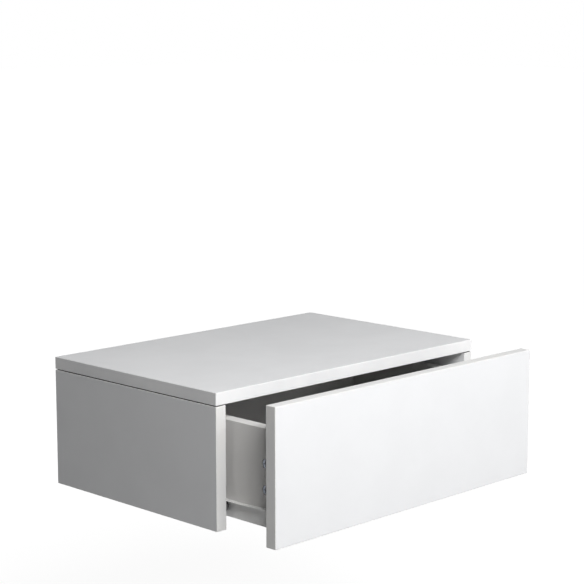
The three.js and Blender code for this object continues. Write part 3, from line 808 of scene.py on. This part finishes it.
for hand, side in hands:
    lip, web, web_face, outwards = side * 0.2704, side * 0.2793, side * 0.2787, (side, 0, 0)
    path = [(lip, channel_top), (web, channel_top), (web, channel_bottom), (lip, channel_bottom)]
    name = f"{hand}_cabinet_runner_channel"
    channel = folded_sheet(name, path, channel_front, channel_rear, along="Y", bend=0.0012)
    select_where(channel, "faces", lambda f: f.calc_center_median().z < channel_bottom + 0.0005)
    corner = (side * 0.279, channel_front, 0)
    bpy.ops.mesh.bisect(plane_co=corner, plane_no=(-side, -1, 0), clear_outer=True)
    bpy.ops.object.mode_set(mode="OBJECT")
    thicken(channel, runner_steel)
    spans = {"across": (0.265, 0.2785), "along": (-0.39, -0.3656), "up": (-0.1265, -0.12)}
    cut_out(channel, [side_block("notch", side, **spans)])
    screw_places = [(web_face, y, panel_screw_height) for y in panel_screw_rows]
    spare_places = [(web_face, y, panel_screw_height) for y in spare_channel_holes]
    holes = screw_holes(screw_places, outwards, runner_screw_hole)
    holes += [drill(place, outwards, radius=0.0025, deep=0.003, sides=24) for place in spare_places]
    cut_out(channel, holes)
    spans = {"across": (0.2706, 0.2792), "along": (-0.0392, channel_rear), "up": (-0.1414, -0.1228)}
    tab = side_block("tab", side, **spans)
    channel.data.materials.append(runner_paint)
    tab.data.materials.append(runner_paint)
    join(channel, tab, rivet(web_face, (-side, 0, 0), front_axle_y, front_axle_z))
    deburr(channel)
    smooth(channel)
    fit(channel, f"{hand}_cabinet_runner", "carcass")
    put_screws(runner_screw, f"{hand}_cabinet_runner_screw", "carcass", screw_places, outwards)
    node, place = f"{hand}_front_roller", (side * front_roller_x, front_axle_y, front_axle_z)
    put(wheel, node + "_wheel", node, node, place, outwards)

# Drawer box
# 20 mm sides and a 16 mm back in off-white melamine board, and a thin bottom sheet in grooves, coloured
# near-black as painted shade to keep the inside of the drawer dark.
# The sides are held to the front by two cams each, and to the back by two long screws each.

drawer_face, drawer_band = (0.72, 0.71, 0.695), (0.79, 0.785, 0.77)
groove, groove_floor = (-0.1365, -0.1313), 0.2555
back_joints, back_middle, back_end = {"lower": -0.1005, "upper": -0.027}, -0.154, 0.2474
leg_screw_rows, leg_screw_x = (-0.434, -0.206), 0.26
side_front, side_underside = -0.4959, -0.1465
back_screw_hole = {"head": 0.0042, "shank": 0.0024, "sink": 0.0024, "deep": 0.022}
back_screw = screw_model(head=0.004, sink=0.0024, shank=0.0022, length=0.05, tip=0.004)

for hand, side in hands:
    node, inwards = f"{hand}_drawer_side", (-side, 0, 0)
    outer, middle, leg = side * drawer_outer, side * drawer_middle, side * leg_screw_x
    piece = board(node, node + "_coating", drawer_face, drawer_band, (1, 0, 0))
    across = (0.2455, groove_floor)
    cutters = [side_block("groove", side, across, along=(-0.498, -0.144), up=groove)]
    for z in front_joints.values():
        cutters.append(drill((outer, front_cam_y, z), inwards, cam_bore, cam_bore_depth))
    cutters += [drill((middle, side_front, z), (0, 1, 0), **shank_hole) for z in front_joints.values()]
    pilot_places = [(leg, y, side_underside) for y in leg_screw_rows]
    cutters += [drill(place, (0, 0, 1), pilot_hole, deep=0.0129, sides=24) for place in pilot_places]
    screw_places = {level: (outer, back_middle, z) for level, z in back_joints.items()}
    cutters += screw_holes(screw_places.values(), inwards, back_screw_hole)
    cut_out(piece, cutters, core)
    smooth(piece)
    fit(piece, node, "drawer")
    for level, place in screw_places.items():
        put_screw(back_screw, f"{hand}_{level}_drawer_back_screw", "drawer", place, inwards)
bpy.data.objects.remove(back_screw)

piece = board("drawer_back", "drawer_back_coating", drawer_face, drawer_band, (0, 1, 0))
holes = []
for side in (-1, 1):
    end_places = [(side * back_end, back_middle, z) for z in back_joints.values()]
    holes += [drill(place, (-side, 0, 0), radius=0.0024, deep=0.0301, sides=24) for place in end_places]
cut_out(piece, holes, core)
smooth(piece)
fit(piece, "drawer_back", "drawer")


def fibreboard_painted_shade():
    # Its near-black colour is painted shade for the drawer's dark inside; the fibres and clouds are the
    # sheet's own texture.
    colour, paler, fibre = (0.075, 0.075, 0.078), (0.095, 0.095, 0.096), (0.13, 0.128, 0.125)
    material, tree, shader = new_material("bottom_sheet", colour, roughness=0.55)
    height, cloud = pressed_surface(tree, grain=1300.0, clouds=25.0)
    fibres = noise(tree, stretched_place(tree, (300, 1500, 300)), scale=1.0, detail=3)
    tone = blend_colours(tree, ramp(tree, cloud, 0.3, 0.7), colour, paler)
    tone = blend_colours(tree, ramp(tree, fibres, 0.45, 0.75, 0, 0.4), tone, fibre)
    rough = ramp(tree, fibres, 0.3, 0.7, 0.5, 0.64)
    finish(tree, shader, tone, rough, height, strength=0.25, distance=0.0001)
    return material


piece = block("drawer_bottom_board", *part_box("drawer_bottom"))
ease_all(piece, 0.0003)
piece.data.materials.append(fibreboard_painted_shade())
smooth(piece)
fit(piece, "drawer_bottom", "drawer")

# Drawer front
# 19.5 mm board that covers the whole carcass, with no handle: fingers pull its lower edge.
# A groove across its rear face takes the bottom sheet, and the cam bolts are screwed into it.

piece = board("drawer_front", "drawer_front_coating", white_face, white_band, (0, 1, 0))
cutters = [block("groove", (-groove_floor, -0.502, groove[0]), (groove_floor, -0.494, groove[1]))]
for x in (-drawer_middle, drawer_middle):
    cutters += [drill((x, front_rear_face, z), (0, -1, 0), **thread_hole) for z in front_joints.values()]
cut_out(piece, cutters, core)
smooth(piece)
fit(piece, "drawer_front", "drawer")

# Drawer runners
# The same coated sheet: a leg screwed under the drawer side, a web up its outer face and a flange out.
# The flange climbs over its front end, so that the drawer sinks shut over the last stretch.

runner_front, runner_rear, leg_height, leg_underside = -0.494, -0.148, -0.1472, -0.1478
flange_height, flange_lowest = -0.1206, -0.1222
rear_roller_x, rear_axle_y, rear_axle_z = 0.2733, -0.16, -0.1321
spare_leg_holes = (-0.47, -0.37, -0.306, -0.242)
climb_start, climb_bend, climb_rise = -0.406, -0.428, 0.0035
climb = []
for t in (i / 8 for i in range(9)):
    y = (1 - t) ** 2 * climb_start + 2 * t * (1 - t) * climb_bend + t * t * runner_front
    climb.append((y, climb_rise * t * t))

for hand, side in hands:
    leg, web, lip, up = side * 0.2525, side * 0.2682, side * 0.2771, (0, 0, 1)
    path = [(leg, leg_height), (web, leg_height), (web, flange_height), (lip, flange_height)]
    name = f"{hand}_drawer_runner_folded"
    runner = folded_sheet(name, path, runner_front, runner_rear, along="Y", bend=0.001)
    for y, _ in climb[:-1]:
        select_where(runner, "faces", lambda f: True)
        bpy.ops.mesh.bisect(plane_co=(0, y, 0), plane_no=(0, 1, 0))
        bpy.ops.object.mode_set(mode="OBJECT")
    for y, rise in climb[1:]:
        select_where(runner, "verts", lambda v: abs(v.co.y - y) < 1e-5 and v.co.z > flange_lowest)
        bpy.ops.transform.translate(value=(0, 0, rise))
        bpy.ops.object.mode_set(mode="OBJECT")
    thicken(runner, runner_steel)
    screw_places = [(side * leg_screw_x, y, leg_underside) for y in leg_screw_rows]
    spare_places = [(side * leg_screw_x, y, leg_underside) for y in spare_leg_holes]
    holes = screw_holes(screw_places, up, runner_screw_hole)
    holes += [drill(place, up, radius=0.0022, deep=0.003, sides=24) for place in spare_places]
    cut_out(runner, holes)
    runner.data.materials.append(runner_paint)
    join(runner, rivet(side * 0.2688, (side, 0, 0), rear_axle_y, rear_axle_z))
    deburr(runner)
    smooth(runner)
    fit(runner, f"{hand}_drawer_runner", "drawer")
    put_screws(runner_screw, f"{hand}_drawer_runner_screw", "drawer", screw_places, up)
    node, place = f"{hand}_rear_roller", (side * rear_roller_x, rear_axle_y, rear_axle_z)
    put(wheel, node + "_wheel", node, node, place, (-side, 0, 0))
for model in (wheel, runner_screw):
    bpy.data.objects.remove(model)

# Studio
# A wide pale floor well below the hung cabinet, white to the camera and to reflections, and soft lamps.


def seen_directly(tree):
    """One where a camera, glossy or transmission ray looks at a surface, and nought for its light."""
    rays = tree.nodes.new("ShaderNodeLightPath").outputs
    seen = arithmetic(tree, "MAXIMUM", rays["Is Camera Ray"], rays["Is Glossy Ray"])
    return arithmetic(tree, "MAXIMUM", seen, rays["Is Transmission Ray"])


bpy.ops.object.select_all(action="DESELECT")
bpy.ops.mesh.primitive_plane_add(size=60, location=(0, 0, -0.6))
floor = bpy.context.object
floor.name = "floor"
material = bpy.data.materials.new("floor_paint")
material.use_nodes = True
tree = material.node_tree
tree.nodes.clear()
surface = add_node(tree, "ShaderNodeBsdfDiffuse", {"Color": (0.35, 0.35, 0.35, 1)})
from_middle = add_node(tree, "ShaderNodeVectorMath", {0: object_place(tree)}, operation="LENGTH")
paling = ramp(tree, from_middle.outputs["Value"], 0.7, 2.6, 0.88, 1.0)
glow = arithmetic(tree, "MULTIPLY", seen_directly(tree), paling)
light = add_node(tree, "ShaderNodeEmission", {"Strength": glow})
both = add_node(tree, "ShaderNodeAddShader", {0: surface.outputs[0], 1: light.outputs[0]})
add_node(tree, "ShaderNodeOutputMaterial", {0: both.outputs[0]})
floor.data.materials.append(material)

world = bpy.data.worlds.new("studio")
bpy.context.scene.world = world
world.use_nodes = True
tree = world.node_tree
background = tree.nodes["Background"]
background.inputs["Color"].default_value = (1, 1, 1, 1)
tree.links.new(ramp(tree, seen_directly(tree), 0, 1, 0.03, 1.0), background.inputs["Strength"])

lamps_aim = Vector((0, -0.25, -0.05))


def soft_lamp(name, place, size, watts):
    lamp = bpy.data.objects.new(name, bpy.data.lights.new(name, "AREA"))
    bpy.context.scene.collection.objects.link(lamp)
    lamp.data.shape = "RECTANGLE"
    lamp.data.size, lamp.data.size_y = size
    lamp.data.energy = watts
    lamp.location = place
    lamp.rotation_euler = (lamps_aim - lamp.location).to_track_quat("-Z", "Y").to_euler()


soft_lamp("front_left", place=(-0.8, -1.9, 1.5), size=(1.2, 1.0), watts=50)
soft_lamp("front_right", place=(1.6, -1.9, 0.9), size=(1.2, 1.0), watts=24)
soft_lamp("front_low", place=(0.2, -2.6, 0.35), size=(1.2, 0.8), watts=7)
soft_lamp("rear", place=(-0.3, 2.8, 0.2), size=(2.0, 1.0), watts=12)

# The camera stands where the photograph was taken from.
camera = bpy.data.objects.new("camera", bpy.data.cameras.new("camera"))
bpy.context.scene.collection.objects.link(camera)
camera.data.lens, camera.data.sensor_width = 105.26, 36.0
camera.location = (-1.97296, -2.21907, 0.60253)
yaw, pitch, roll = (math.radians(angle) for angle in (45.066, 9.191, -0.057))
look = Vector((math.sin(yaw) * math.cos(pitch), math.cos(yaw) * math.cos(pitch), -math.sin(pitch)))
turned = look.to_track_quat("-Z", "Y").to_matrix() @ Matrix.Rotation(roll, 3, "Z")
camera.rotation_euler = turned.to_euler()
bpy.context.scene.camera = camera
bpy.context.scene.view_settings.view_transform = "Standard"
